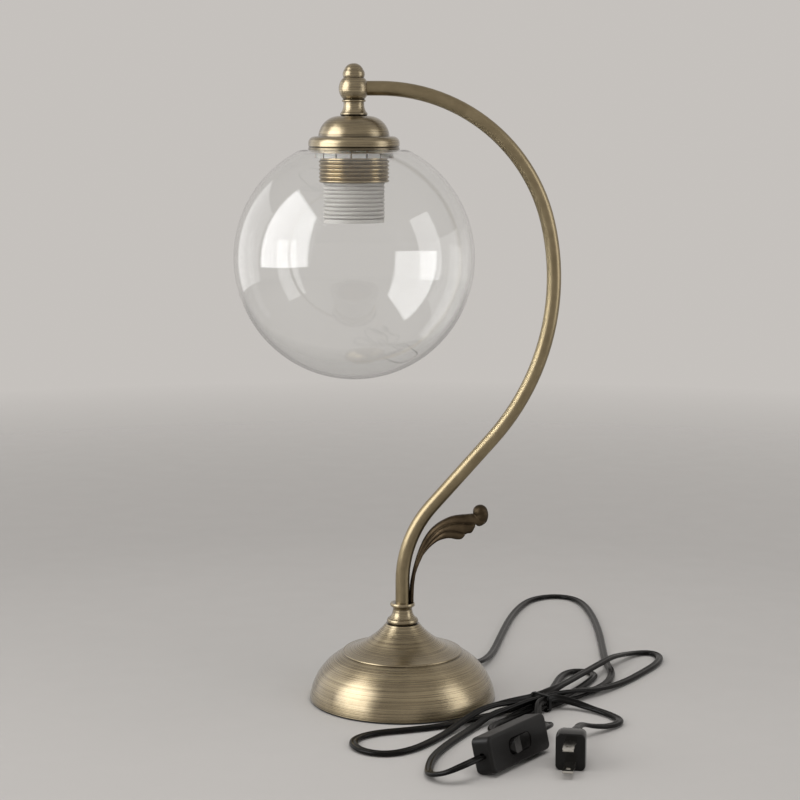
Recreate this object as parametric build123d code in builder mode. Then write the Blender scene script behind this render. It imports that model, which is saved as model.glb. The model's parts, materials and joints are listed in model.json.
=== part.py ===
"""Glass globe table lamp: a spun brass base, a swept brass arm with a cast leaf, a threaded
lampholder under a brass cap, a clear glass globe, and a flat black cord with a rocker switch
and a two-blade plug. Millimetres, +Z up, origin at the centre of the base's underside."""

from build123d import *
import os
from math import atan2, ceil, cos, dist, hypot, pi, radians, sin, sqrt, tan

os.makedirs("parts", exist_ok=True)

# ---------------------------------------------------------------- driving dimensions
seat = 0.05  # radial clearance of a push fit or a thread, drawn as plain cylinders
play = 0.3  # gap between neighbours that don't carry each other

# base
pad_thick = 1.2
pad_inset = 0.8  # how far the pad's edge stands in from the rim
base_radius = 59.4
base_wall = 1.2
base_height = 49.0  # underside of the pad to the top of the shell
dome_height = 30.2
shoulder_in = 5.6  # a point on the dome's shoulder, in from the rim and up from the table
shoulder_up = 16.5
ring_radius = 38.0  # the step ring that parts the dome from the flare
ring_step = 1.3
flare_radius = 20.0  # a point halfway up the hollow flare
flare_height = 39.8
neck_radius = 10.6

# iron weight
weight_gap = 2.2  # between the iron and the shell's rim
weight_edge = 7.0  # height of the weight's upright edge
weight_slope_radius = 37.0
weight_slope_height = 26.0
weight_boss_radius = 8.8
weight_boss_height = 38.0
recess_radius = 24.0
recess_height = 19.0

# threaded lamp pipe, its washer and its nut
pipe_radius = 5.0
pipe_bore = 3.6
washer_radius = 12.0
washer_thick = 1.5
nut_flats = 14.0
nut_thick = 4.5
pipe_tail = 1.5  # pipe standing below the nut

# collar on the base
collar_height = 13.4
collar_ring_radius = 10.0
collar_ring_height = 3.4
collar_waist_radius = 6.2
collar_waist_height = 8.6
collar_lip_radius = 7.9
collar_lip_height = 2.0
collar_pipe_depth = 4.6

# arm
tube_radius = 4.5
tube_bore = 3.5
arm_foot_run = 13.85  # straight above the collar
arm_low_radius = 73.5
arm_low_turn = 41.4
arm_lean_run = 57.3
arm_mid_radius = 152.3
arm_mid_turn = 55.0
arm_top_radius = 107.2
arm_top_run = 15.85  # from the end of the last bend to the head's axis
tube_head_reach = 4.6  # how far the tube's end stays short of the head's axis

# head, heights above the face of its foot
head_arm_height = 16.8
head_foot_radius = 8.5
head_foot_height = 2.2
head_neck_radius = 6.4
head_neck_height = 6.4
head_bead_radius = 7.4
head_bead_height = 9.2
head_bead_thick = 1.6
head_body_radius = 9.3
head_body_height = 17.1
head_top_radius = 6.4
head_top_height = 23.2
finial_radius = 6.8
finial_height = 8.7
finial_stud_radius = 3.0
finial_stud_length = 3.8
lead_bend = 5.0  # bend of the wires where they turn down inside the head

# cap over the globe, heights below the head's foot
cap_wall = 1.2
cap_top_radius = 8.8
cap_dome_radius = 22.0
cap_dome_drop = 13.2
cap_drop = 20.6
cap_rim_radius = 28.2
cap_lip_height = 1.7
cap_groove = 0.5

# lampholder
holder_top_gap = 0.1
holder_thread_radius = 19.0
holder_thread_depth = 0.8
holder_thread_pitch = 2.54
holder_lip = 2.6
holder_wall = 3.0
holder_drop = 65.4  # from the head's foot to the mouth
holder_thread_length = 43.4
holder_boss_radius = 9.0
holder_boss_height = 4.0
holder_shoulder_drop = 14.6
core_height = 9.0
core_drop = 25.0
shell_bore = 13.2  # the screw shell's wall at its widest
shell_wall = 0.4
shell_shoulder = 4.5  # height over which the shell draws in towards its floor
shell_floor_radius = 8.0
shell_rise = 1.8  # of the shell's mouth above the holder's mouth
contact_radius = 4.2
contact_thick = 0.5
contact_rise = 2.6
screw_radius = 1.5
screw_head_radius = 2.6
screw_head_height = 1.6
screw_spread = 10.5

# ribbed clamp ring and slotted collar that hold the globe
clamp_radius = 21.8
clamp_rib_depth = 1.0
clamp_rib_pitch = 2.56
clamp_height = 14.8
grip_radius = 24.4  # over the lips that carry the glass
grip_neck_radius = 23.0  # where the collar stands in the glass's hole
grip_wall = 1.5
grip_height = 5.1
grip_flange = 1.6
grip_slots = 16
grip_slot_width = 1.1
grip_first_slot = -2.5  # turn of the first slot from the front

# globe
globe_radius = 75.0
globe_flat_drop = 7.6  # ground top of the glass below the top of the full ball
globe_lip_bend = 11.5  # bend between the ball and the ground top
glass = 2.0

# leaf
leaf_gap = 0.15
leaf_skin = 1.5
leaf_tip_radius = 4.4  # the rolled tip: an upright egg of three balls
leaf_tip_rise = 2.4

# cord
cord = 4.0  # round cord of the same section as the flat 5.2 x 2.6 mm twin cord
exit_turn = 50.0  # where the cord leaves the base
exit_height = 6.0
bushing_radius = 3.6
bushing_flange_radius = 4.6
bushing_flange = 1.4
bushing_reach = 5.5
strand_pitch = 4.8
tie_band = 0.8
tie_width = 2.2
tie_half = 7.0  # half of the straight stretch inside the tie
tie_centre = (87.0, -28.0)
tie_heading = 44.0

# inline switch, in its own frame: x along it, y up its face, z out of its face
switch_centre = (62.5, -130.5)
switch_heading = 54.0
switch_lean = 14.0
switch_length = 60.0
switch_height = 21.5
switch_depth = 13.0
switch_wall = 1.6
switch_round = 3.5
switch_edge = 1.8
switch_lift = 0.5  # how much the rounded lower edge lowers the switch
rocker_reach = 11.2  # from the hinge to the rocker's rounded ends
rocker_width = 8.8
rocker_round = 3.9
rocker_throw = 18.0
rocker_end = 1.4  # the rocker's ends above the case when it stands level
rocker_middle = 0.2
rocker_under = 1.8  # the rocker's underside below its hinge
rocker_gap = 0.5
rocker_skin = 1.3
hinge_depth = 2.6
hinge_pin = 1.0
ear_thick = 1.4
bridge_reach = 5.0
bridge_width = 3.0
bridge_thick = 0.5
terminal_width = 4.0
terminal_thick = 0.8
terminal_block = 6.0
switch_screws_at = (22.2, 6.2)
switch_boss = 6.0
cord_entry = 4.0

# plug, in its own frame: z out of its face
plug_face = (95.5, -145.0)
plug_heading = -90.0 - 9.8
plug_width = 17.0
plug_height = 21.5
plug_depth = 24.0
plug_round = 3.0
plug_neck_width = 11.0
plug_neck_height = 12.0
relief_length = 18.0
relief_radius = 4.6
relief_tip_radius = 3.0
blade_width = 6.35
blade_thick = 1.5
blade_spread = 12.7
blade_length = 16.5
blade_root = 8.0


# ---------------------------------------------------------------- helpers
def circle_centre(a, b, c):
    """The centre of the circle through three points of a plane."""
    d = 2 * (a[0] * (b[1] - c[1]) + b[0] * (c[1] - a[1]) + c[0] * (a[1] - b[1]))
    aa, bb, cc = (p[0] ** 2 + p[1] ** 2 for p in (a, b, c))
    x = (aa * (b[1] - c[1]) + bb * (c[1] - a[1]) + cc * (a[1] - b[1])) / d
    y = (aa * (c[0] - b[0]) + bb * (a[0] - c[0]) + cc * (b[0] - a[0])) / d
    return x, y


def grown(a, b, c, change):
    """Three points of an arc whose radius has changed, on the same centre."""
    x, y = circle_centre(a, b, c)
    radius = hypot(a[0] - x, a[1] - y)
    scale = (radius + change) / radius
    return [(x + (p[0] - x) * scale, y + (p[1] - y) * scale) for p in (a, b, c)]


def ridges(crest, root, low, high, pitch):
    """Points up a ribbed wall: equal ridges between two heights, starting and ending low."""
    count = max(1, round((high - low) / pitch))
    step = (high - low) / count
    points = [(root, low)]
    for n in range(count):
        points.append((crest, low + (n + 0.3) * step))
        points.append((crest, low + (n + 0.55) * step))
        points.append((root, low + (n + 0.85) * step))
    points.append((root, high))
    return points


def axial(origin, along):
    """A plane whose normal runs along a direction."""
    return Plane(origin=origin, z_dir=along)


def save(piece, name):
    """Label a piece, write it and return its solid."""
    piece.part.label = name
    export_step(piece.part, f"parts/{name}.step")
    return piece.part


# ---------------------------------------------------------------- base
rim = (base_radius, pad_thick)
shoulder = (base_radius - shoulder_in, shoulder_up)
dome_edge = (ring_radius, dome_height)
ring_crest = (ring_radius + 0.12 * ring_step, dome_height + 0.6 * ring_step)
flare_edge = (ring_radius - 0.7 * ring_step, dome_height + ring_step)
flare = (flare_radius, flare_height)
neck = (neck_radius, base_height)
shell_under = base_height - base_wall
exit_out = Vector(cos(radians(exit_turn)), sin(radians(exit_turn)), 0)
exit_along = Axis((0, 0, exit_height), tuple(exit_out))

inner_rim, inner_shoulder, inner_dome = grown(rim, shoulder, dome_edge, -base_wall)
inner_flare_edge, inner_flare, inner_neck = grown(flare_edge, flare, neck, base_wall)

with BuildPart() as base_shell:
    with BuildSketch(Plane.XZ):
        with BuildLine():
            ThreePointArc(rim, shoulder, dome_edge)
            ThreePointArc(dome_edge, ring_crest, flare_edge)
            ThreePointArc(flare_edge, flare, neck)
            Polyline(neck, (0, base_height), (0, pad_thick), rim)
        make_face()
    revolve(axis=Axis.Z)
    with BuildSketch(Plane.XZ):
        with BuildLine():
            ThreePointArc((base_radius - base_wall, pad_thick), inner_shoulder, inner_dome)
            Line(inner_dome, inner_flare_edge)
            ThreePointArc(inner_flare_edge, inner_flare, (inner_neck[0], shell_under))
            Polyline(
                (inner_neck[0], shell_under),
                (0, shell_under),
                (0, pad_thick),
                (base_radius - base_wall, pad_thick),
            )
        make_face()
    revolve(axis=Axis.Z, mode=Mode.SUBTRACT)
    with BuildSketch(Plane.XY):
        Circle(pipe_radius + seat)
    extrude(amount=base_height, mode=Mode.SUBTRACT)
    with BuildSketch(axial((0, 0, exit_height), exit_out)):
        Circle(bushing_radius + seat)
    extrude(amount=base_radius, mode=Mode.SUBTRACT)
save(base_shell, "base_shell")

weight_radius = base_radius - base_wall - weight_gap
recess_roof = recess_height
with BuildPart() as base_weight:
    with BuildSketch(Plane.XZ):
        with BuildLine():
            Polyline(
                (recess_radius, pad_thick),
                (weight_radius, pad_thick),
                (weight_radius, pad_thick + weight_edge),
                (weight_radius - weight_edge, shoulder_up),
                (weight_slope_radius, weight_slope_height),
                (weight_boss_radius + 2 * play, weight_boss_height),
                (weight_boss_radius, weight_boss_height + 2 * play),
                (weight_boss_radius, shell_under),
                (pipe_radius + play, shell_under),
                (pipe_radius + play, recess_roof),
                (recess_radius, recess_roof),
                (recess_radius, pad_thick),
            )
        make_face()
    revolve(axis=Axis.Z)
    channel_width = 2 * (bushing_radius + play)
    channel_height = exit_height + bushing_radius + play
    with BuildSketch(Plane.XY.rotated((0, 0, exit_turn))):
        with Locations((weight_radius / 2, 0)):
            Rectangle(weight_radius + 2 * play, channel_width)
    extrude(amount=channel_height, mode=Mode.SUBTRACT)
save(base_weight, "base_weight")

with BuildPart() as base_pad:
    with BuildSketch(Plane.XY):
        Circle(base_radius - pad_inset)
    extrude(amount=pad_thick)
save(base_pad, "base_pad")

bushing_start = base_radius - bushing_reach
bushing_end = base_radius + bushing_flange + play
with BuildPart() as cord_bushing:
    with BuildSketch(axial(exit_out * bushing_start + Vector(0, 0, exit_height), exit_out)):
        Circle(bushing_radius)
    extrude(amount=bushing_end - bushing_start)
    with BuildSketch(axial(exit_out * (bushing_end - bushing_flange) + Vector(0, 0, exit_height), exit_out)):
        Circle(bushing_flange_radius)
    extrude(amount=bushing_flange)
    fillet(cord_bushing.edges().group_by(exit_along)[-1], 0.5)
    with BuildSketch(axial(exit_out * bushing_start + Vector(0, 0, exit_height), exit_out)):
        Circle(cord / 2 + seat)
    extrude(amount=bushing_end - bushing_start, mode=Mode.SUBTRACT)
save(cord_bushing, "cord_bushing")

washer_top = recess_roof
nut_top = washer_top - washer_thick
pipe_low = nut_top - nut_thick - pipe_tail
pipe_high = base_height + collar_pipe_depth

with BuildPart() as base_pipe:
    with BuildSketch(Plane.XY.offset(pipe_low)):
        Circle(pipe_radius)
        Circle(pipe_bore, mode=Mode.SUBTRACT)
    extrude(amount=pipe_high - pipe_low)
    chamfer(base_pipe.edges().group_by(Axis.Z)[0].sort_by(SortBy.RADIUS)[-1], 0.4)
save(base_pipe, "base_pipe")

with BuildPart() as base_washer:
    with BuildSketch(Plane.XY.offset(nut_top)):
        Circle(washer_radius)
        Circle(pipe_radius + seat, mode=Mode.SUBTRACT)
    extrude(amount=washer_thick)
save(base_washer, "base_washer")

with BuildPart() as base_nut:
    with BuildSketch(Plane.XY.offset(nut_top - nut_thick)):
        RegularPolygon(nut_flats / 2, 6, major_radius=False)
        Circle(pipe_radius + seat, mode=Mode.SUBTRACT)
    extrude(amount=nut_thick)
save(base_nut, "base_nut")

# ---------------------------------------------------------------- collar
collar_top = base_height + collar_height
ring_top = base_height + collar_ring_height
waist = base_height + collar_waist_height
lip = collar_top - collar_lip_height
tube_low = pipe_high + play
with BuildPart() as neck_collar:
    with BuildSketch(Plane.XZ):
        with BuildLine():
            ThreePointArc(
                (collar_ring_radius - 0.8, base_height),
                (collar_ring_radius, base_height + collar_ring_height / 2),
                (collar_ring_radius - 0.8, ring_top),
            )
            Line((collar_ring_radius - 0.8, ring_top), (collar_ring_radius - 1.4, ring_top + 0.3))
            ThreePointArc(
                (collar_ring_radius - 1.4, ring_top + 0.3),
                (collar_waist_radius + 0.35, waist - 1.8),
                (collar_waist_radius, waist),
            )
            ThreePointArc(
                (collar_waist_radius, waist),
                (collar_waist_radius + 0.45, lip - 0.7),
                (collar_lip_radius - 0.2, lip),
            )
            ThreePointArc(
                (collar_lip_radius - 0.2, lip),
                (collar_lip_radius, lip + 0.8),
                (collar_lip_radius - 0.5, collar_top),
            )
            Polyline(
                (collar_lip_radius - 0.5, collar_top),
                (tube_radius + seat, collar_top),
                (tube_radius + seat, tube_low),
                (pipe_bore, tube_low),
                (pipe_bore, pipe_high),
                (pipe_radius + seat, pipe_high),
                (pipe_radius + seat, base_height),
                (collar_ring_radius - 0.8, base_height),
            )
        make_face()
    revolve(axis=Axis.Z)
save(neck_collar, "neck_collar")

# ---------------------------------------------------------------- arm
arm_bend_low = collar_top + arm_foot_run
heading_low = 90 - arm_low_turn
heading_high = heading_low + arm_mid_turn


def walk(point, heading, length):
    """A point further on along a heading in the plane of the arm."""
    return point[0] + length * cos(radians(heading)), point[1] + length * sin(radians(heading))


def bend(point, heading, radius, turn):
    """End of a bend that starts at a point: positive turns go left."""
    side = 90 if turn > 0 else -90
    centre = walk(point, heading + side, radius)
    return walk(centre, heading + turn - side, radius)


arm_p0 = (0, tube_low)
arm_p1 = (0, arm_bend_low)
arm_p2 = bend(arm_p1, 90, arm_low_radius, -arm_low_turn)
arm_p3 = walk(arm_p2, heading_low, arm_lean_run)
arm_p4 = bend(arm_p3, heading_low, arm_mid_radius, arm_mid_turn)
arm_p5 = bend(arm_p4, heading_high, arm_top_radius, 180 - heading_high)
head_x = arm_p5[0] - arm_top_run
arm_p6 = (head_x + tube_head_reach, arm_p5[1])
arm_height = arm_p5[1]


def space(point):
    """A point of the arm's plane in space."""
    return Vector(point[0], 0, point[1])


def arm_lines():
    """The arm's centre line above its straight foot: tangent bends and runs."""
    lean = space(walk((0, 0), heading_low, 1))
    steep = space(walk((0, 0), heading_high, 1))
    TangentArc(space(arm_p1), space(arm_p2), tangent=(0, 0, 1))
    Line(space(arm_p2), space(arm_p3))
    TangentArc(space(arm_p3), space(arm_p4), tangent=lean)
    TangentArc(space(arm_p4), space(arm_p5), tangent=steep)


with BuildPart() as arm_tube:
    with BuildLine() as arm_path:
        Line(space(arm_p0), space(arm_p1))
        arm_lines()
        Line(space(arm_p5), space(arm_p6))
    with BuildSketch(Plane.XY.offset(tube_low)):
        Circle(tube_radius)
        Circle(tube_bore, mode=Mode.SUBTRACT)
    sweep(path=arm_path.wires()[0])
save(arm_tube, "arm_tube")

# ---------------------------------------------------------------- leaf
leaf_x = tube_radius + leaf_gap
leaf_root = collar_top
# stations from the root: the crown's place, the lower edge's place, half the spread
leaf_stations = [
    ((0.0, 0.0), (2.0, 0.0), 1.7),
    ((0.4, 13.6), (2.7, 13.1), 1.8),
    ((3.6, 28.1), (6.4, 26.2), 2.3),
    ((9.5, 42.2), (14.0, 37.2), 4.0),
    ((18.4, 51.6), (22.9, 41.6), 6.0),
    ((28.4, 56.2), (31.9, 41.0), 7.2),
    ((38.4, 57.3), (41.5, 42.0), 6.2),
    ((45.6, 57.5), (47.6, 44.0), 3.6),
]
leaf_lobe_edge = [
    (2.0, 0.0),
    (2.5, 13.9),
    (6.9, 28.8),
    (17.3, 40.7),
    (26.2, 42.7),
]
leaf_lobes = [
    ((26.2, 42.7), (32.2, 41.9), (34.7, 45.4)),
    ((34.7, 45.4), (39.6, 46.5), (41.2, 51.2)),
]
leaf_crown = [
    (44.0, 57.3),
    (28.4, 56.3),
    (18.4, 51.7),
    (9.5, 42.3),
    (3.5, 28.2),
    (0.4, 13.6),
    (0.2, 6.8),
    (0.2, 0.0),
]
leaf_tip = (45.0, 56.8)
leaf_tip_balls = [
    (leaf_tip_rise, leaf_tip_radius - 0.2),
    (0, leaf_tip_radius),
    (-leaf_tip_rise, leaf_tip_radius - 0.2),
]


def leaf_place(point):
    """A point of the leaf's side view in space."""
    return Vector(leaf_x + point[0], 0, leaf_root + point[1])


def leaf_section(crown, edge, spread):
    """Ribbed tent across the leaf: three flutes down each side, hollow below."""
    deep = hypot(edge[0] - crown[0], edge[1] - crown[1])
    down = (leaf_place(edge) - leaf_place(crown)).normalized()
    hollow = min(0.6 * deep, 1.3 * leaf_skin)
    inner = max(0.25 * spread, spread - leaf_skin)
    flutes = [(0, 0), (0.36 * deep, 0.5 * spread), (0.7 * deep, 0.84 * spread), (deep, spread)]
    place = Plane(origin=leaf_place(crown), x_dir=down, z_dir=down.cross(Vector(0, 1, 0)))
    with BuildSketch(place) as section:
        with BuildLine():
            for side in (1, -1):
                for start, end in zip(flutes, flutes[1:]):
                    run = (end[0] - start[0], end[1] - start[1])
                    middle = (
                        (start[0] + end[0]) / 2 - 0.12 * run[1],
                        (start[1] + end[1]) / 2 + 0.12 * run[0],
                    )
                    ThreePointArc(
                        (start[0], side * start[1]),
                        (middle[0], side * middle[1]),
                        (end[0], side * end[1]),
                    )
                Line((deep, side * spread), (deep, side * inner))
                Line((deep, side * inner), (hollow, 0))
        make_face()
    return section.sketch


with BuildPart() as leaf:
    loft([leaf_section(*station) for station in leaf_stations])
    with BuildSketch(Plane.XZ) as leaf_outline:
        with BuildLine():
            Polyline(*[(leaf_x + x, leaf_root + z) for x, z in leaf_lobe_edge])
            for lobe in leaf_lobes:
                ThreePointArc(*[(leaf_x + x, leaf_root + z) for x, z in lobe])
            Spline(*[(leaf_x + x, leaf_root + z) for x, z in leaf_crown])
            lobe_end = leaf_lobes[-1][-1]
            inside_tip = (leaf_crown[0][0], lobe_end[1] + leaf_skin)
            root_gap = (leaf_crown[-1], leaf_lobe_edge[0])
            closing = [(lobe_end, inside_tip), (inside_tip, leaf_crown[0]), root_gap]
            for start, end in closing:
                Line((leaf_x + start[0], leaf_root + start[1]), (leaf_x + end[0], leaf_root + end[1]))
        make_face()
    extrude(amount=2 * leaf_stations[-2][2], both=True, mode=Mode.INTERSECT)
    for rise, radius in leaf_tip_balls:
        with Locations(leaf_place((leaf_tip[0], leaf_tip[1] + rise))):
            Sphere(radius)
save(leaf, "leaf")

# ---------------------------------------------------------------- head
head_foot = arm_height - head_arm_height
head_axis = Axis((head_x, 0, 0), (0, 0, 1))
head_plane = Plane(origin=(head_x, 0, head_foot), x_dir=(1, 0, 0), z_dir=(0, -1, 0))


def level(height):
    """A level plane on the head's axis, at a height from the head's foot."""
    return Plane(origin=(head_x, 0, head_foot + height), x_dir=(1, 0, 0), z_dir=(0, 0, 1))


head_bore = pipe_radius + seat
head_pipe_height = head_neck_height
finial_stud_low = head_top_height - finial_stud_length
bead_low = head_bead_height - head_bead_thick / 2
with BuildPart() as head_body:
    with BuildSketch(head_plane):
        with BuildLine():
            ThreePointArc(
                (head_foot_radius - 0.6, 0),
                (head_foot_radius, head_foot_height / 2),
                (head_foot_radius - 0.6, head_foot_height),
            )
            ThreePointArc(
                (head_foot_radius - 0.6, head_foot_height),
                (head_neck_radius + 0.45, head_neck_height - 2.2),
                (head_neck_radius, head_neck_height),
            )
            Line((head_neck_radius, head_neck_height), (head_neck_radius, bead_low))
            ThreePointArc(
                (head_neck_radius, bead_low),
                (head_bead_radius, head_bead_height),
                (head_neck_radius, head_bead_height + head_bead_thick / 2),
            )
            ThreePointArc(
                (head_neck_radius, head_bead_height + head_bead_thick / 2),
                (head_body_radius, head_body_height),
                (head_top_radius, head_top_height),
            )
            Polyline(
                (head_top_radius, head_top_height),
                (finial_stud_radius + seat, head_top_height),
                (finial_stud_radius + seat, finial_stud_low),
                (tube_bore + play, finial_stud_low),
                (tube_bore + play, head_pipe_height),
                (head_bore, head_pipe_height),
                (head_bore, 0),
                (head_foot_radius - 0.6, 0),
            )
        make_face()
    revolve(axis=head_axis)
    with BuildSketch(axial((head_x + tube_head_reach, 0, arm_height), (1, 0, 0))):
        Circle(tube_radius + seat)
    extrude(amount=head_body_radius, mode=Mode.SUBTRACT)
    with BuildSketch(axial((head_x, 0, arm_height), (1, 0, 0))):
        Circle(tube_bore)
    extrude(amount=head_body_radius, mode=Mode.SUBTRACT)
save(head_body, "head_body")

with BuildPart() as finial:
    with BuildSketch(head_plane):
        with BuildLine():
            ThreePointArc(
                (finial_radius - 0.5, head_top_height),
                (finial_radius, head_top_height + 0.28 * finial_height),
                (0.86 * finial_radius, head_top_height + 0.56 * finial_height),
            )
            ThreePointArc(
                (0.86 * finial_radius, head_top_height + 0.56 * finial_height),
                (0.6 * finial_radius, head_top_height + 0.85 * finial_height),
                (0.2 * finial_radius, head_top_height + finial_height),
            )
            Polyline(
                (0.2 * finial_radius, head_top_height + finial_height),
                (0, head_top_height + finial_height),
                (0, finial_stud_low),
                (finial_stud_radius, finial_stud_low),
                (finial_stud_radius, head_top_height),
                (finial_radius - 0.5, head_top_height),
            )
        make_face()
    revolve(axis=head_axis)
save(finial, "finial")

# ---------------------------------------------------------------- cap
cap_dome_top = (cap_top_radius, 0)
cap_dome_low = (cap_dome_radius, -cap_dome_drop)
cap_swing = sqrt(0.5)
cap_dome_mid = (
    cap_top_radius + (cap_dome_radius - cap_top_radius) * cap_swing,
    -cap_dome_drop * (1 - cap_swing),
)
cap_inner = grown(cap_dome_top, cap_dome_mid, cap_dome_low, -cap_wall)
rim_top = -cap_dome_drop + 0.5
lip_top = -cap_drop + cap_lip_height
rim_inside = cap_rim_radius - cap_wall - cap_groove
with BuildPart() as shade_cap:
    with BuildSketch(head_plane):
        with BuildLine():
            ThreePointArc(cap_dome_top, cap_dome_mid, cap_dome_low)
            Line(cap_dome_low, (cap_dome_radius + 0.8, rim_top))
            ThreePointArc(
                (cap_dome_radius + 0.8, rim_top),
                (cap_rim_radius - 1.1, rim_top - 1.1),
                (cap_rim_radius, rim_top - 3.6),
            )
            Polyline(
                (cap_rim_radius, rim_top - 3.6),
                (cap_rim_radius, lip_top + cap_groove),
                (cap_rim_radius - cap_groove, lip_top),
                (cap_rim_radius, lip_top - cap_groove),
                (cap_rim_radius, -cap_drop),
                (0, -cap_drop),
                (0, 0),
                cap_dome_top,
            )
        make_face()
    revolve(axis=head_axis)
    with BuildSketch(head_plane):
        with BuildLine():
            ThreePointArc((cap_inner[0][0], -cap_wall), cap_inner[1], cap_inner[2])
            Polyline(
                cap_inner[2],
                (cap_dome_radius, rim_top - cap_wall),
                (rim_inside - 1.4, rim_top - cap_wall - 0.6),
                (rim_inside, rim_top - 3.6),
                (rim_inside, -cap_drop),
                (0, -cap_drop),
                (0, -cap_wall),
                (cap_inner[0][0], -cap_wall),
            )
        make_face()
    revolve(axis=head_axis, mode=Mode.SUBTRACT)
    with BuildSketch(level(-cap_wall)):
        Circle(pipe_radius + seat)
    extrude(amount=cap_wall, mode=Mode.SUBTRACT)
save(shade_cap, "shade_cap")

# ---------------------------------------------------------------- lampholder
holder_top = -cap_wall - holder_top_gap
boss_low = holder_top - holder_boss_height
thread_top = -holder_drop + holder_thread_length
shoulder_radius = holder_thread_radius - holder_thread_depth
core_top = -core_drop
core_low = core_top - core_height
skirt_bore = shoulder_radius - holder_wall
head_pipe_low = boss_low - 1.0
with BuildPart() as head_pipe:
    with BuildSketch(level(head_pipe_low)):
        Circle(pipe_radius)
        Circle(pipe_bore, mode=Mode.SUBTRACT)
    extrude(amount=head_pipe_height - head_pipe_low)
save(head_pipe, "head_pipe")

with BuildPart() as holder_top_shell:
    with BuildSketch(head_plane):
        with BuildLine():
            Polyline(
                (pipe_radius + seat, holder_top),
                (holder_boss_radius, holder_top),
                (holder_boss_radius, boss_low),
            )
            ThreePointArc(
                (holder_boss_radius, boss_low),
                (shoulder_radius - 2.6, boss_low - 2.4),
                (shoulder_radius, -holder_shoulder_drop),
            )
            Polyline(
                (shoulder_radius, -holder_shoulder_drop),
                (shoulder_radius, thread_top),
                (skirt_bore, thread_top),
                (skirt_bore, -holder_shoulder_drop),
                (holder_boss_radius, boss_low - 2.4),
                (pipe_radius + seat, boss_low - 2.4),
                (pipe_radius + seat, holder_top),
            )
        make_face()
    revolve(axis=head_axis)
save(holder_top_shell, "holder_top")

with BuildPart() as holder_skirt:
    with BuildSketch(head_plane):
        with BuildLine():
            wall = ridges(
                holder_thread_radius,
                shoulder_radius,
                -holder_drop + holder_lip,
                thread_top,
                holder_thread_pitch,
            )
            Polyline(
                (skirt_bore, thread_top),
                (skirt_bore, -holder_drop),
                (holder_thread_radius - 0.3, -holder_drop),
                (holder_thread_radius - 0.3, -holder_drop + holder_lip - 0.3),
                *wall,
                (skirt_bore, thread_top),
            )
        make_face()
    revolve(axis=head_axis)
save(holder_skirt, "holder_skirt")

with BuildPart() as holder_core:
    with BuildSketch(level(core_low)):
        Circle(skirt_bore - seat)
        Circle(pipe_bore, mode=Mode.SUBTRACT)
    extrude(amount=core_height)
    with BuildSketch(level(core_top)):
        with Locations((screw_spread, 0), (-screw_spread, 0)):
            Circle(screw_radius + seat)
    extrude(amount=-core_height / 2, mode=Mode.SUBTRACT)
save(holder_core, "holder_core")

shell_low = -holder_drop + shell_rise
shell_top = core_low
with BuildPart() as screw_shell:
    with BuildSketch(head_plane):
        with BuildLine():
            Polyline(
                (shell_bore, shell_low),
                (shell_bore + shell_wall, shell_low),
                (shell_bore + shell_wall, shell_top - shell_shoulder),
                (shell_floor_radius + shell_wall, shell_top),
                (contact_radius + 2.4, shell_top),
                (contact_radius + 2.4, shell_top - shell_wall),
                (shell_floor_radius, shell_top - shell_wall),
                (shell_bore, shell_top - shell_shoulder),
                close=True,
            )
        make_face()
    revolve(axis=head_axis)
save(screw_shell, "screw_shell")

with BuildPart() as centre_contact:
    with BuildSketch(head_plane):
        with BuildLine():
            Polyline(
                (0, core_low - contact_rise),
                (contact_radius * 0.4, core_low - contact_rise),
                (contact_radius + 1.2, core_low),
                (contact_radius + 1.2, core_low - contact_thick),
                (contact_radius * 0.4 + contact_thick, core_low - contact_rise - contact_thick),
                (0, core_low - contact_rise - contact_thick),
                (0, core_low - contact_rise),
            )
        make_face()
    extrude(amount=contact_radius / 2, both=True)
    with BuildSketch(level(core_low)):
        with Locations((contact_radius, 0)):
            Circle(screw_radius * 0.6)
    extrude(amount=-contact_thick)
save(centre_contact, "centre_contact")

with BuildPart() as terminal_screws:
    with BuildSketch(level(core_top)):
        with Locations((screw_spread, 0), (-screw_spread, 0)):
            Circle(screw_head_radius)
    extrude(amount=screw_head_height)
    with BuildSketch(level(core_top - core_height / 2 + play)):
        with Locations((screw_spread, 0), (-screw_spread, 0)):
            Circle(screw_radius)
    extrude(amount=core_height / 2 - play)
    with BuildSketch(level(core_top + screw_head_height)):
        with Locations((screw_spread, 0), (-screw_spread, 0)):
            Rectangle(2 * screw_head_radius, 0.6)
    extrude(amount=-0.7, mode=Mode.SUBTRACT)
save(terminal_screws, "terminal_screws")

# ---------------------------------------------------------------- grip and clamp
grip_top = -cap_drop - play
grip_low = grip_top - grip_height
thread_clear = holder_thread_radius + seat
clamp_top = grip_low
clamp_low = clamp_top - clamp_height
lip_seat = -cap_drop - glass
grip_bore = grip_neck_radius - grip_wall
with BuildPart() as slotted_collar:
    with BuildSketch(level(grip_low)):
        Circle(grip_radius)
        Circle(grip_bore, mode=Mode.SUBTRACT)
    extrude(amount=lip_seat - grip_low)
    with BuildSketch(level(lip_seat)):
        Circle(grip_neck_radius)
        Circle(grip_bore, mode=Mode.SUBTRACT)
    extrude(amount=grip_top - lip_seat)
    with BuildSketch(level(grip_top - grip_flange)):
        Circle(grip_neck_radius)
        Circle(thread_clear, mode=Mode.SUBTRACT)
    extrude(amount=grip_flange)
    with BuildSketch(level(grip_low)):
        with PolarLocations(grip_radius, grip_slots, start_angle=-90 + grip_first_slot):
            Rectangle(2 * (grip_radius - grip_bore + play), grip_slot_width)
    extrude(amount=grip_height - grip_flange, mode=Mode.SUBTRACT)
save(slotted_collar, "slotted_collar")

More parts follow.
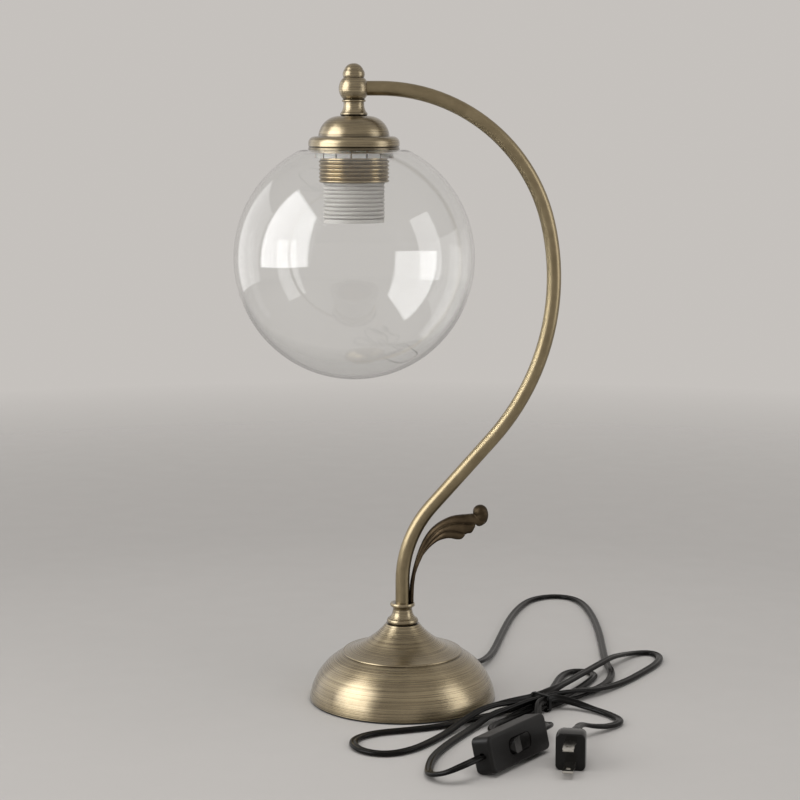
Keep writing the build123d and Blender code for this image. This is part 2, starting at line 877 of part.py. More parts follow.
clamp_collar_radius = grip_bore - seat
clamp_collar_height = grip_height - grip_flange - play
with BuildPart() as clamp_ring:
    with BuildSketch(head_plane):
        with BuildLine():
            wall = ridges(
                clamp_radius,
                clamp_radius - clamp_rib_depth,
                clamp_low,
                clamp_top - 0.6,
                clamp_rib_pitch,
            )
            Polyline(
                (thread_clear, clamp_top + clamp_collar_height),
                (thread_clear, clamp_low),
                *wall,
                (clamp_radius - clamp_rib_depth, clamp_top),
                (clamp_collar_radius - 0.6, clamp_top),
                (clamp_collar_radius, clamp_top + clamp_collar_height - 0.6),
                (clamp_collar_radius - 0.6, clamp_top + clamp_collar_height),
                (thread_clear, clamp_top + clamp_collar_height),
            )
        make_face()
    revolve(axis=head_axis)
save(clamp_ring, "clamp_ring")

# ---------------------------------------------------------------- globe
globe_flat_height = globe_radius - globe_flat_drop
globe_centre = -cap_drop - globe_flat_height
hole_radius = grip_neck_radius + seat


def globe_wall(skin):
    """Side view of the glass at a depth below its outer face: ball, bend, ground top."""
    ball = globe_radius - skin
    turn = globe_lip_bend - skin
    rise = globe_flat_height - globe_lip_bend
    reach = sqrt((globe_radius - globe_lip_bend) ** 2 - rise**2)
    slope = atan2(rise, reach)
    centre = (reach, globe_centre + rise)
    half = (slope + pi / 2) / 2
    bottom = (0, globe_centre - ball)
    side = (ball * cos((slope - pi / 2) / 2), globe_centre + ball * sin((slope - pi / 2) / 2))
    meet = (ball * cos(slope), globe_centre + ball * sin(slope))
    mid = (centre[0] + turn * cos(half), centre[1] + turn * sin(half))
    top = (centre[0], centre[1] + turn)
    return bottom, side, meet, mid, top


with BuildPart() as globe:
    outer = globe_wall(0)
    inner = globe_wall(glass)
    with BuildSketch(head_plane):
        with BuildLine():
            ThreePointArc(*outer[:3])
            ThreePointArc(*outer[2:])
            Polyline(outer[4], (hole_radius, outer[4][1]), (hole_radius, inner[4][1]), inner[4])
            ThreePointArc(*inner[2:])
            ThreePointArc(*inner[:3])
            Line(inner[0], outer[0])
        make_face()
    revolve(axis=head_axis)
save(globe, "globe")

# ---------------------------------------------------------------- wires inside the lamp
lead_start = exit_out * bushing_start + Vector(0, 0, exit_height)
lead_turn = exit_height + 2 * cord
lead_end = head_foot - core_drop + cord / 2
with BuildPart() as inner_lead:
    with BuildLine() as lead_path:
        corner = exit_out * (2 * cord) + Vector(0, 0, exit_height)
        Line(lead_start, corner)
        TangentArc(corner, Vector(0, 0, lead_turn), tangent=-exit_out)
        Line(Vector(0, 0, lead_turn), space(arm_p1))
        arm_lines()
        Line(space(arm_p5), (head_x + lead_bend, 0, arm_height))
        TangentArc(
            (head_x + lead_bend, 0, arm_height),
            (head_x, 0, arm_height - lead_bend),
            tangent=(-1, 0, 0),
        )
        Line((head_x, 0, arm_height - lead_bend), (head_x, 0, lead_end))
    with BuildSketch(axial(lead_start, -exit_out)):
        Circle(cord / 2)
    sweep(path=lead_path.wires()[0])
save(inner_lead, "inner_lead")

# ---------------------------------------------------------------- cord on the table
floor = cord / 2
layer_1 = tie_band + 0.2 + cord / 2
layer_2 = layer_1 + strand_pitch
tie_along = Vector(cos(radians(tie_heading)), sin(radians(tie_heading)), 0)
tie_across = Vector(-sin(radians(tie_heading)), cos(radians(tie_heading)), 0)


def strand(column, layer, side):
    """Where a strand enters (side -1, left) or leaves (side 1, right) the tie."""
    place = Vector(*tie_centre, 0) + tie_across * (column * strand_pitch) + tie_along * (side * tie_half)
    return place + Vector(0, 0, layer)


def on_table(*points, height=floor):
    """Points of the route that lie on the table, from x and y."""
    return [Vector(x, y, height) for x, y in points]


def corner_radii(points):
    """The largest radius that each corner of a route leaves room for."""
    radii = []
    for a, b, c in zip(points, points[1:], points[2:]):
        before, after = b - a, c - b
        turn = radians(before.get_angle(after))
        radii.append(0.45 * min(before.length, after.length) / tan(turn / 2))
    return radii


def cord_piece(points, name):
    """A tube of cord along a route of straight runs and tangent arcs."""
    radii = corner_radii(points)
    with BuildPart() as piece:
        with BuildLine() as route:
            FilletPolyline(*points, radius=radii)
        path = route.wires()[0]
        with BuildSketch(axial(points[0], points[1] - points[0])):
            Circle(cord / 2)
        sweep(path=path)
    full = pi * (cord / 2) ** 2 * path.length
    print(
        name,
        f"length {path.length:.0f}, tightest bend {min(radii):.1f},",
        f"longest run {max((b - a).length for a, b in zip(points, points[1:])):.0f},",
        f"volume {piece.part.volume / full:.4f} of section x length",
    )
    save(piece, name)
    return path


def halfway(a, b):
    """The middle of a run, where two pieces of cord meet face to face."""
    return (a + b) * 0.5


switch_along = Vector(cos(radians(switch_heading)), sin(radians(switch_heading)), 0)
switch_plan_out = Vector(sin(radians(switch_heading)), -cos(radians(switch_heading)), 0)
switch_out = switch_plan_out * cos(radians(switch_lean)) + Vector(0, 0, sin(radians(switch_lean)))
switch_mid = Vector(
    *switch_centre,
    switch_depth / 2 * sin(radians(switch_lean))
    + switch_height / 2 * cos(radians(switch_lean))
    - switch_lift,
)
switch_plane = Plane(origin=switch_mid, x_dir=switch_along, z_dir=switch_out)
plug_out = Vector(cos(radians(plug_heading)), sin(radians(plug_heading)), 0)
plug_origin = Vector(*plug_face, plug_height / 2)
plug_plane = Plane(origin=plug_origin, x_dir=Vector(0, 0, 1).cross(plug_out), z_dir=plug_out)
switch_inside = switch_length / 2 - cord_entry
relief_tip = plug_origin - plug_out * (plug_depth + relief_length)

tail_points = [
    lead_start,
    exit_out * (base_radius + 16.6) + Vector(0, 0, exit_height),
    Vector(57.5, 79, 4.0),
    *on_table((64, 108), (71.5, 152), (80.5, 200), (91, 236), (101, 254), (116.5, 262.5)),
    *on_table((131, 256), (138, 236), (141, 201), (141.5, 158), (139.5, 112), (138, 76)),
    *on_table((140, 47), (133, 22), (117, 2)),
]
short_left = [
    *on_table((78, -48), (74, -62), (70, -75), (62, -82), (54, -78), (54, -68), (62, -58), (70, -45)),
]
inner_right = [
    *on_table((103, -6), (114, 12), (124, 32), (128, 45), (122, 54), (112, 53), (105, 42)),
    *on_table((100, 22), (94, 0)),
]
long_left = [
    *on_table((60, -41), (41, -54), (24, -67), (2, -75), (-16, -80), (-28, -90), (-30, -103)),
    *on_table((-23, -116), (-9, -121), (5, -113), (17, -97), (28, -78)),
    Vector(38, -62, 4.5),
    Vector(50, -49, layer_2),
    Vector(64, -38, layer_2),
]
long_right = [
    Vector(101, -2, layer_2),
    Vector(116, 24, layer_2),
    Vector(130, 48, layer_2),
    Vector(141, 67, layer_2),
    Vector(151, 85, 4.6),
    *on_table((162, 99), (172, 100), (177, 90), (173, 73), (161, 52), (145, 27)),
    Vector(127, 5, 3.6),
    Vector(110, -11, layer_2),
]
switch_lead = [
    Vector(69, -43, 7.0),
    Vector(54, -54, 5.0),
    *on_table((43, -70), (33, -89), (24, -108), (17.5, -126), (15, -143)),
    Vector(14.6, -159, 2.6),
    Vector(23, -169, 6.4),
    switch_mid - switch_along * (switch_inside + 20.5),
    switch_mid - switch_along * switch_inside,
]
plug_lead = [
    switch_mid + switch_along * switch_inside,
    switch_mid + switch_along * (switch_inside + 15),
    Vector(88.5, -84, 8.5),
    Vector(84.5, -71.5, 4.8),
    Vector(83, -58.5, 4.0),
    Vector(83.8, -46.5, 6.6),
    strand(-1, layer_2, -1),
    strand(-1, layer_2, 1),
    Vector(106, -27, 5.4),
    Vector(118, -33, 2.8),
    *on_table((128.5, -43), (135, -57)),
    Vector(126.5, -69.5, 2.6),
    Vector(115, -78.5, 5.2),
    relief_tip - plug_out * 14,
    relief_tip + plug_out * 3,
]
first_in = strand(-1, layer_1, 1)
last_out = strand(0, layer_2, -1)
hank_start = halfway(tail_points[-1], first_in)
hank_end = halfway(last_out, switch_lead[0])
hank_points = [
    hank_start,
    first_in,
    strand(-1, layer_1, -1),
    *short_left,
    strand(0, layer_1, -1),
    strand(0, layer_1, 1),
    *inner_right,
    strand(1, layer_1, 1),
    strand(1, layer_1, -1),
    *long_left,
    strand(1, layer_2, -1),
    strand(1, layer_2, 1),
    *long_right,
    strand(0, layer_2, 1),
    last_out,
    hank_end,
]
tail_path = cord_piece([*tail_points, hank_start], "cord_tail")
hank_path = cord_piece(hank_points, "cord_hank")
switch_path = cord_piece([hank_end, *switch_lead], "cord_to_switch")
plug_path = cord_piece(plug_lead, "cord_to_plug")


def places_along(paths):
    """Points about 1.5 mm apart down a row of routes, each with its distance along them."""
    places = []
    along = 0.0
    for path in paths:
        for piece in path.edges():
            count = ceil(piece.length / 1.5)
            for n in range(count):
                places.append((along + piece.length * n / count, tuple(piece @ (n / count))))
            along += piece.length
    return places


def least_gap(paths, apart):
    """Smallest gap between stretches of cord that lie further apart along it than a length."""
    places = places_along(paths)
    gaps = [dist(p, q) for i, (s, p) in enumerate(places) for t, q in places[i:] if t - s > apart]
    return min(gaps) - cord


first_cord = [tail_path, hank_path, switch_path]
between = min(dist(p, q) for _, p in places_along(first_cord) for _, q in places_along([plug_path]))
print(f"least gap of the hank to itself {least_gap([hank_path], 6 * cord):.2f}")
print(f"least gap of the first cord to itself {least_gap(first_cord, 6 * cord):.2f}")
print(f"least gap between the two cords {between - cord:.2f}")

tie_inside = (2 * strand_pitch + cord + 2 * play, strand_pitch + cord + play)
with BuildPart() as hank_tie:
    tie_plane = Plane(
        origin=Vector(*tie_centre, tie_band + tie_inside[1] / 2) - tie_along * (tie_width / 2),
        x_dir=tie_across,
        z_dir=tie_along,
    )
    with BuildSketch(tie_plane):
        RectangleRounded(tie_inside[0] + 2 * tie_band, tie_inside[1] + 2 * tie_band, 2.4)
        RectangleRounded(*tie_inside, 1.6, mode=Mode.SUBTRACT)
    extrude(amount=tie_width)
save(hank_tie, "hank_tie")

# ---------------------------------------------------------------- inline switch
face = switch_depth / 2
wall_inside = face - switch_wall
hinge_z = face - hinge_depth
window = (2 * (rocker_reach + play), rocker_width + 2 * rocker_gap)
pocket = (switch_length - 2 * (switch_wall + cord_entry), switch_height - 2 * switch_wall)
ear_y = window[1] / 2 + ear_thick / 2
screw_points = [switch_screws_at, (-switch_screws_at[0], -switch_screws_at[1])]
end_plane = axial(switch_mid - switch_along * switch_length, switch_along)
hinge_plane = axial(switch_plane.from_local_coords((0, -switch_height / 2, hinge_z)), switch_plane.y_dir)
across_face = Axis(tuple(switch_mid), tuple(switch_out))

with BuildPart() as switch_cover:
    with BuildSketch(switch_plane):
        RectangleRounded(switch_length, switch_height, switch_round)
    extrude(amount=face)
    fillet(switch_cover.faces().sort_by(across_face)[-1].edges(), switch_edge)
    with BuildSketch(switch_plane):
        Rectangle(*pocket)
    extrude(amount=wall_inside, mode=Mode.SUBTRACT)
    with BuildSketch(switch_plane):
        RectangleRounded(*window, rocker_round + play)
    extrude(amount=face, mode=Mode.SUBTRACT)
    with BuildSketch(switch_plane.offset(hinge_z - 2 * hinge_pin)):
        with Locations((0, ear_y), (0, -ear_y)):
            Rectangle(4 * hinge_pin, ear_thick)
    extrude(amount=wall_inside - hinge_z + 2 * hinge_pin)
    with BuildSketch(hinge_plane.offset(switch_height / 2 - ear_y - ear_thick / 2)):
        Circle(hinge_pin + seat)
    extrude(amount=2 * ear_y + ear_thick, mode=Mode.SUBTRACT)
    with BuildSketch(switch_plane):
        with Locations(*screw_points):
            Rectangle(switch_boss, switch_boss)
    extrude(amount=wall_inside)
    with BuildSketch(switch_plane):
        with Locations(*screw_points):
            Circle(screw_radius + seat)
    extrude(amount=wall_inside, mode=Mode.SUBTRACT)
    with BuildSketch(end_plane):
        Circle(cord / 2 + seat)
    extrude(amount=2 * switch_length, mode=Mode.SUBTRACT)
save(switch_cover, "switch_cover")

head_seat = -face + screw_head_height + play
with BuildPart() as switch_base:
    with BuildSketch(switch_plane.offset(-face)):
        RectangleRounded(switch_length, switch_height, switch_round)
    extrude(amount=face)
    fillet(switch_base.faces().sort_by(across_face)[0].edges(), switch_edge)
    with BuildSketch(switch_plane.offset(-wall_inside)):
        Rectangle(*pocket)
    extrude(amount=wall_inside, mode=Mode.SUBTRACT)
    with BuildSketch(switch_plane.offset(-wall_inside)):
        with Locations(*screw_points):
            Rectangle(switch_boss, switch_boss)
    extrude(amount=wall_inside)
    with BuildSketch(switch_plane.offset(-face)):
        with Locations(*screw_points):
            Circle(screw_radius + seat)
    extrude(amount=face, mode=Mode.SUBTRACT)
    with BuildSketch(switch_plane.offset(-face)):
        with Locations(*screw_points):
            Circle(screw_head_radius + seat)
    extrude(amount=head_seat + face, mode=Mode.SUBTRACT)
    with BuildSketch(end_plane):
        Circle(cord / 2 + seat)
    extrude(amount=2 * switch_length, mode=Mode.SUBTRACT)
save(switch_base, "switch_base")

with BuildPart() as switch_screws:
    with BuildSketch(switch_plane.offset(head_seat - screw_head_height)):
        with Locations(*screw_points):
            Circle(screw_head_radius)
    extrude(amount=screw_head_height)
    with BuildSketch(switch_plane.offset(head_seat)):
        with Locations(*screw_points):
            Circle(screw_radius)
    extrude(amount=wall_inside - 2 * play - head_seat)
    with BuildSketch(switch_plane.offset(head_seat - screw_head_height)):
        with Locations(*screw_points):
            Rectangle(2 * screw_head_radius, 0.7)
            Rectangle(0.7, 2 * screw_head_radius)
    extrude(amount=0.8, mode=Mode.SUBTRACT)
save(switch_screws, "switch_screws")

# the rocker is drawn with the end nearer the plug pressed, half its throw from level
tilt = radians(rocker_throw / 2)
rocker_origin = switch_plane.from_local_coords((0, 0, hinge_z))
rocker_along = switch_along * cos(tilt) - switch_out * sin(tilt)
rocker_out = switch_out * cos(tilt) + switch_along * sin(tilt)
rocker_side = Plane(origin=rocker_origin, x_dir=rocker_along, z_dir=switch_plane.y_dir * -1)
rocker_top = hinge_depth + rocker_end
rocker_flat = sqrt(rocker_reach**2 - rocker_top**2)
rocker_foot = sqrt(rocker_reach**2 - rocker_under**2)
with BuildPart() as switch_rocker:
    with BuildSketch(rocker_side):
        with BuildLine():
            for side in (1, -1):
                Line((0, hinge_depth + rocker_middle), (side * rocker_flat, rocker_top))
                ThreePointArc(
                    (side * rocker_flat, rocker_top),
                    (side * rocker_reach, 0),
                    (side * rocker_foot, -rocker_under),
                )
            Line((rocker_foot, -rocker_under), (-rocker_foot, -rocker_under))
        make_face()
    extrude(amount=rocker_width / 2, both=True)
    with BuildSketch(Plane(origin=rocker_origin, x_dir=rocker_along, z_dir=rocker_out)):
        RectangleRounded(2 * rocker_reach, rocker_width, rocker_round)
    extrude(amount=2 * rocker_reach, both=True, mode=Mode.INTERSECT)
    hollow = rocker_reach - 2 * rocker_skin - rocker_round / 3
    hollow_height = hinge_depth - rocker_skin + rocker_under
    with BuildSketch(rocker_side):
        for side in (1, -1):
            with Locations((side * (rocker_skin + hollow / 2), hollow_height / 2 - rocker_under)):
                Rectangle(hollow, hollow_height)
    extrude(amount=rocker_width / 2 - rocker_skin, both=True, mode=Mode.SUBTRACT)
    with BuildSketch(rocker_side):
        Circle(hinge_pin)
    extrude(amount=ear_y + ear_thick / 2 - 0.1, both=True)
save(switch_rocker, "switch_rocker")

bridge_top = -rocker_under - 0.4
with BuildPart() as switch_bridge:
    with BuildSketch(rocker_side):
        with Locations((0, bridge_top - bridge_thick / 2)):
            Rectangle(2 * bridge_reach, bridge_thick)
        with Locations((0, (bridge_top - rocker_under) / 2)):
            Rectangle(1.6, -rocker_under - bridge_top)
    extrude(amount=bridge_width / 2, both=True)
save(switch_bridge, "switch_bridge")

terminal_top = 0.0
with BuildPart() as switch_terminals:
    for side in (1, -1):
        with BuildSketch(switch_plane.offset(-wall_inside)):
            with Locations((side * (switch_screws_at[0] + 1.2 * bridge_reach) / 2, 0)):
                Rectangle(switch_screws_at[0] - 1.2 * bridge_reach - play, terminal_width)
        extrude(amount=terminal_thick)
        with BuildSketch(switch_plane.offset(-wall_inside)):
            with Locations((side * (1.2 * bridge_reach - terminal_thick / 2 + play), 0)):
                Rectangle(terminal_thick, terminal_width)
        extrude(amount=wall_inside + terminal_top)
        with BuildSketch(switch_plane.offset(-wall_inside)):
            with Locations((side * (switch_screws_at[0] - terminal_block), 0)):
                Rectangle(terminal_block, terminal_width + 1.0)
        extrude(amount=wall_inside + terminal_top)
save(switch_terminals, "switch_terminals")

# ---------------------------------------------------------------- plug
tip = -plug_depth - relief_length
with BuildPart() as plug_body:
    with BuildSketch(plug_plane) as plug_front:
        RectangleRounded(plug_width, plug_height, plug_round)
    with BuildSketch(plug_plane.offset(-0.55 * plug_depth)):
        RectangleRounded(plug_width - 0.8, plug_height - 0.8, plug_round)
    with BuildSketch(plug_plane.offset(-plug_depth)):
        RectangleRounded(plug_neck_width, plug_neck_height, plug_round)
    loft()
    fillet(plug_body.faces().sort_by(Axis(tuple(plug_origin), tuple(plug_out)))[-1].edges(), 0.8)
    with BuildSketch(Plane(origin=plug_origin, x_dir=plug_plane.x_dir, z_dir=plug_plane.y_dir * -1)):
        with BuildLine():
            ring = relief_length / 6
            outline = [(0, -plug_depth + 1.0), (relief_radius, -plug_depth + 1.0)]
            for n in range(6):
                low = relief_radius + (relief_tip_radius - relief_radius) * (n + 0.5) / 6
                start = -plug_depth - n * ring
                outline += [(low, start - 0.1), (low, start - 0.65 * ring)]
                outline += [(low - 0.7, start - 0.65 * ring - 0.1), (low - 0.7, start - ring + 0.1)]
            outline[-2:] = [(relief_tip_radius, tip), (0, tip)]
            Polyline(*outline, close=True)
        make_face()
    revolve(axis=Axis(tuple(plug_origin), tuple(plug_out)))
    with BuildSketch(plug_plane.offset(tip)):
        Circle(cord / 2 + seat)
    extrude(amount=3.0, mode=Mode.SUBTRACT)
    with BuildSketch(plug_plane):
        with Locations((0, blade_spread / 2), (0, -blade_spread / 2)):
            Rectangle(blade_width + 2 * seat, blade_thick + 2 * seat)
    extrude(amount=-blade_root, mode=Mode.SUBTRACT)
save(plug_body, "plug_body")

with BuildPart() as plug_blades:
    with BuildSketch(plug_plane.offset(-blade_root)):
        with Locations((0, blade_spread / 2), (0, -blade_spread / 2)):
            Rectangle(blade_width, blade_thick)
    extrude(amount=blade_root + blade_length)
    tips = plug_blades.faces().group_by(Axis(tuple(plug_origin), tuple(plug_out)))[-1]
    chamfer(tips.edges(), 0.5)
    with BuildSketch(Plane(origin=plug_origin, x_dir=plug_plane.x_dir, z_dir=plug_plane.y_dir)):
        with Locations((0, -11.8)):
            Circle(1.6)
    extrude(amount=plug_height, both=True, mode=Mode.SUBTRACT)
save(plug_blades, "plug_blades")
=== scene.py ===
"""Glass globe table lamp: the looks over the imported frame. Aged brass, a cast leaf, clear glass,
a threaded holder, and a flat twin cord. Metres, +Z up, camera at the photograph's angle."""

from math import atan2, cos, pi, radians, sin, sqrt

import bmesh
import bpy
from mathutils import Matrix, Vector
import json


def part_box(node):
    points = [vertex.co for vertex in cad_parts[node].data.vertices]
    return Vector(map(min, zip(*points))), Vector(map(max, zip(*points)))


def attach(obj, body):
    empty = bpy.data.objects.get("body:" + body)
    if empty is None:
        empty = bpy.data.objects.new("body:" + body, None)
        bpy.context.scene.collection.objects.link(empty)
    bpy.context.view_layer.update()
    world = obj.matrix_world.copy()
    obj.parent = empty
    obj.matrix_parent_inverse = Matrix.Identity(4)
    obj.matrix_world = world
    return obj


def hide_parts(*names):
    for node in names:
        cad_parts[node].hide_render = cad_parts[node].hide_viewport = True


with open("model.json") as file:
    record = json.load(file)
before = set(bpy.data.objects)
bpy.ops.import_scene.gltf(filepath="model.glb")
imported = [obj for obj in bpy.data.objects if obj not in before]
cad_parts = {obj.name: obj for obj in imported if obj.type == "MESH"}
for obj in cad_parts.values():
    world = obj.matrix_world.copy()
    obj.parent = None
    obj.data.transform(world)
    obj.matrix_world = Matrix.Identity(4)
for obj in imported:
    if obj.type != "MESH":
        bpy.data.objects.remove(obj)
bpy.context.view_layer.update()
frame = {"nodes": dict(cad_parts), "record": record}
cad = frame["nodes"]
MM = 0.001
PALE = (0.56, 0.535, 0.51)  # backdrop and table top
LENS_MM = 90.7
SENSOR_MM = 36
CAMERA_PLACE = (-0.0016, -1.253, 0.376)
CAMERA_DOWN = 8.32  # degrees below level


def span(node):
    """Lowest and highest corner of a solid, as vectors."""
    low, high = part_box(node)
    return Vector(low), Vector(high)


cap_low, cap_high = span("shade_cap")
head_x = (cap_low.x + cap_high.x) / 2
globe_top = cap_low.z


# ---------------------------------------------------------------- camera and light
def set_camera():
    """The photograph's camera, and colours shown as they are."""
    lens = bpy.data.cameras.new("camera")
    lens.lens = LENS_MM
    lens.sensor_width = SENSOR_MM
    camera = bpy.data.objects.new("camera", lens)
    camera.location = CAMERA_PLACE
    camera.rotation_euler = (radians(90 - CAMERA_DOWN), 0, 0)
    bpy.context.scene.collection.objects.link(camera)
    bpy.context.scene.camera = camera
    bpy.context.scene.view_settings.view_transform = "Standard"


set_camera()


def area(name, place, target, size, power, colour=(1, 1, 1)):
    """A soft rectangular lamp that faces a point."""
    data = bpy.data.lights.new(name, "AREA")
    data.shape = "RECTANGLE"
    data.size, data.size_y = size
    data.energy = power
    data.color = colour
    lamp = bpy.data.objects.new(name, data)
    lamp.location = place
    lamp.rotation_euler = (Vector(target) - Vector(place)).to_track_quat("-Z", "Y").to_euler()
    bpy.context.scene.collection.objects.link(lamp)
    return lamp


def shine_only(lamp):
    """A lamp that gives gloss its highlights and leaves the plain level of light alone."""
    lamp.visible_diffuse = False
    lamp.visible_camera = False


def light_only(lamp):
    """A lamp that lights the lamp's surfaces and isn't seen in glass or metal."""
    lamp.visible_glossy = False
    lamp.visible_transmission = False


globe_middle = (head_x, 0, 0.3)
# target and size shared by the left softbox and its shine, which stand 5 cm apart
left = ((head_x, -0.46, 0.78), (1.05, 1.17))
area("softbox_left", (-0.95, -0.46, 0.78), *left, 7.0)
light_only(area("softbox_top", (0.15, -0.3, 1.5), (0, 0, 0.1), (1.2, 1.0), 9.0))
light_only(area("fill_right", (1.4, -1.1, 0.8), (0, 0, 0.2), (0.9, 0.9), 4.5))
shine_only(area("shine_left", (-0.90, -0.46, 0.78), *left, 9.5))
shine_only(area("shine_right", (0.98, -0.24, 0.46), globe_middle, (0.48, 0.95), 2.6))
shine_only(area("shine_behind", (-0.92, 0.5, 0.42), globe_middle, (0.78, 0.85), 1.4))


def studio_world():
    """A pale surround that also shows in metal and through glass."""
    world = bpy.data.worlds.new("surround")
    bpy.context.scene.world = world
    world.use_nodes = True
    tree = world.node_tree
    tree.nodes.clear()
    out = tree.nodes.new("ShaderNodeOutputWorld")
    seen = tree.nodes.new("ShaderNodeBackground")
    light = tree.nodes.new("ShaderNodeBackground")
    mix = tree.nodes.new("ShaderNodeMixShader")
    path = tree.nodes.new("ShaderNodeLightPath")
    most = tree.nodes.new("ShaderNodeMath")
    most.operation = "MAXIMUM"
    any_of = tree.nodes.new("ShaderNodeMath")
    any_of.operation = "MAXIMUM"
    tree.links.new(path.outputs["Is Camera Ray"], most.inputs[0])
    tree.links.new(path.outputs["Is Transmission Ray"], most.inputs[1])
    tree.links.new(most.outputs[0], any_of.inputs[0])
    tree.links.new(path.outputs["Is Glossy Ray"], any_of.inputs[1])
    seen.inputs["Color"].default_value = (*PALE, 1)
    seen.inputs["Strength"].default_value = 1.0
    light.inputs["Color"].default_value = (0.94, 0.94, 0.94, 1)
    light.inputs["Strength"].default_value = 0.36
    tree.links.new(any_of.outputs[0], mix.inputs[0])
    tree.links.new(light.outputs[0], mix.inputs[1])
    tree.links.new(seen.outputs[0], mix.inputs[2])
    tree.links.new(mix.outputs[0], out.inputs[0])


studio_world()


# ---------------------------------------------------------------- node helpers
class Recipe:
    """A material under construction: one surface shader and short calls for its nodes."""

    def __init__(self, name, colour, roughness, metallic=0.0, **sockets):
        self.made = bpy.data.materials.new(name)
        self.made.use_nodes = True
        self.tree = self.made.node_tree
        self.tree.nodes.clear()
        self.out = self.add("ShaderNodeOutputMaterial")
        self.skin = self.add("ShaderNodeBsdfPrincipled")
        self.join(self.skin.outputs[0], self.out.inputs[0])
        self.skin.inputs["Base Color"].default_value = (*colour, 1)
        self.skin.inputs["Roughness"].default_value = roughness
        self.skin.inputs["Metallic"].default_value = metallic
        for socket, value in sockets.items():
            self.skin.inputs[socket.replace("_", " ")].default_value = value
        self.place = self.add("ShaderNodeTexCoord").outputs["Object"]

    def add(self, kind, **settings):
        made = self.tree.nodes.new(kind)
        for key, value in settings.items():
            setattr(made, key, value)
        return made

    def join(self, source, target):
        self.tree.links.new(source, target)

    def sum(self, kind, a, b=None):
        made = self.add("ShaderNodeMath", operation=kind)
        for socket, value in zip(made.inputs, (a, b)):
            if isinstance(value, (int, float)):
                socket.default_value = value
            elif value is not None:
                self.join(value, socket)
        return made.outputs[0]

    def scaled(self, amounts, centre=(0, 0, 0)):
        """Object coordinates about a centre, each axis scaled on its own."""
        made = self.add("ShaderNodeMapping", vector_type="POINT")
        made.inputs["Scale"].default_value = amounts
        made.inputs["Location"].default_value = [-c * a for c, a in zip(centre, amounts)]
        self.join(self.place, made.inputs["Vector"])
        return made.outputs[0]

    def spun(self, centre_x, fine, coarse):
        """Coordinates that run round an upright axis: fine across the grain, coarse along it."""
        split = self.add("ShaderNodeSeparateXYZ")
        self.join(self.scaled((1, 1, 1), (centre_x, 0, 0)), split.inputs[0])
        x, y, z = split.outputs
        radius = self.sum("SQRT", self.sum("ADD", self.sum("MULTIPLY", x, x), self.sum("MULTIPLY", y, y)))
        made = self.add("ShaderNodeCombineXYZ")
        self.join(self.sum("MULTIPLY", radius, fine), made.inputs[0])
        self.join(self.sum("MULTIPLY", z, fine), made.inputs[1])
        self.join(self.sum("MULTIPLY", self.sum("ADD", x, y), coarse), made.inputs[2])
        return made.outputs[0]

    def noise(self, place, scale, detail=3.0, rough=0.55):
        made = self.add("ShaderNodeTexNoise")
        made.inputs["Scale"].default_value = scale
        made.inputs["Detail"].default_value = detail
        made.inputs["Roughness"].default_value = rough
        self.join(place, made.inputs["Vector"])
        return made.outputs["Fac"]

    def spread(self, value, low, high, start=0.3, end=0.7):
        """A 0 to 1 value brought into a range."""
        made = self.add("ShaderNodeMapRange")
        made.inputs["From Min"].default_value = start
        made.inputs["From Max"].default_value = end
        made.inputs["To Min"].default_value = low
        made.inputs["To Max"].default_value = high
        self.join(value, made.inputs["Value"])
        return made.outputs["Result"]

    def blend(self, amount, first, second):
        """Two colours mixed by an amount; either colour may be a socket."""
        made = self.add("ShaderNodeMix", data_type="RGBA")
        self.join(amount, made.inputs["Factor"])
        for socket, value in ((made.inputs[6], first), (made.inputs[7], second)):
            if isinstance(value, tuple):
                socket.default_value = (*value, 1)
            else:
                self.join(value, socket)
        return made.outputs[2]

    def colour(self, value):
        self.join(value, self.skin.inputs["Base Color"])

    def rough(self, value):
        self.join(value, self.skin.inputs["Roughness"])

    def relief(self, *layers):
        """Bump layers, each a height socket with its depth in metres."""
        normal = None
        for height, depth in layers:
            made = self.add("ShaderNodeBump")
            made.inputs["Strength"].default_value = 1.0
            made.inputs["Distance"].default_value = depth
            self.join(height, made.inputs["Height"])
            if normal is not None:
                self.join(normal, made.inputs["Normal"])
            normal = made.outputs[0]
        self.join(normal, self.skin.inputs["Normal"])

    def painted_crease_shade(self, reach):
        """Painted shade: dark where a crease keeps the light out, 1 in the open; used to darken a colour."""
        made = self.add("ShaderNodeAmbientOcclusion")
        made.inputs["Distance"].default_value = reach
        return made.outputs["AO"]


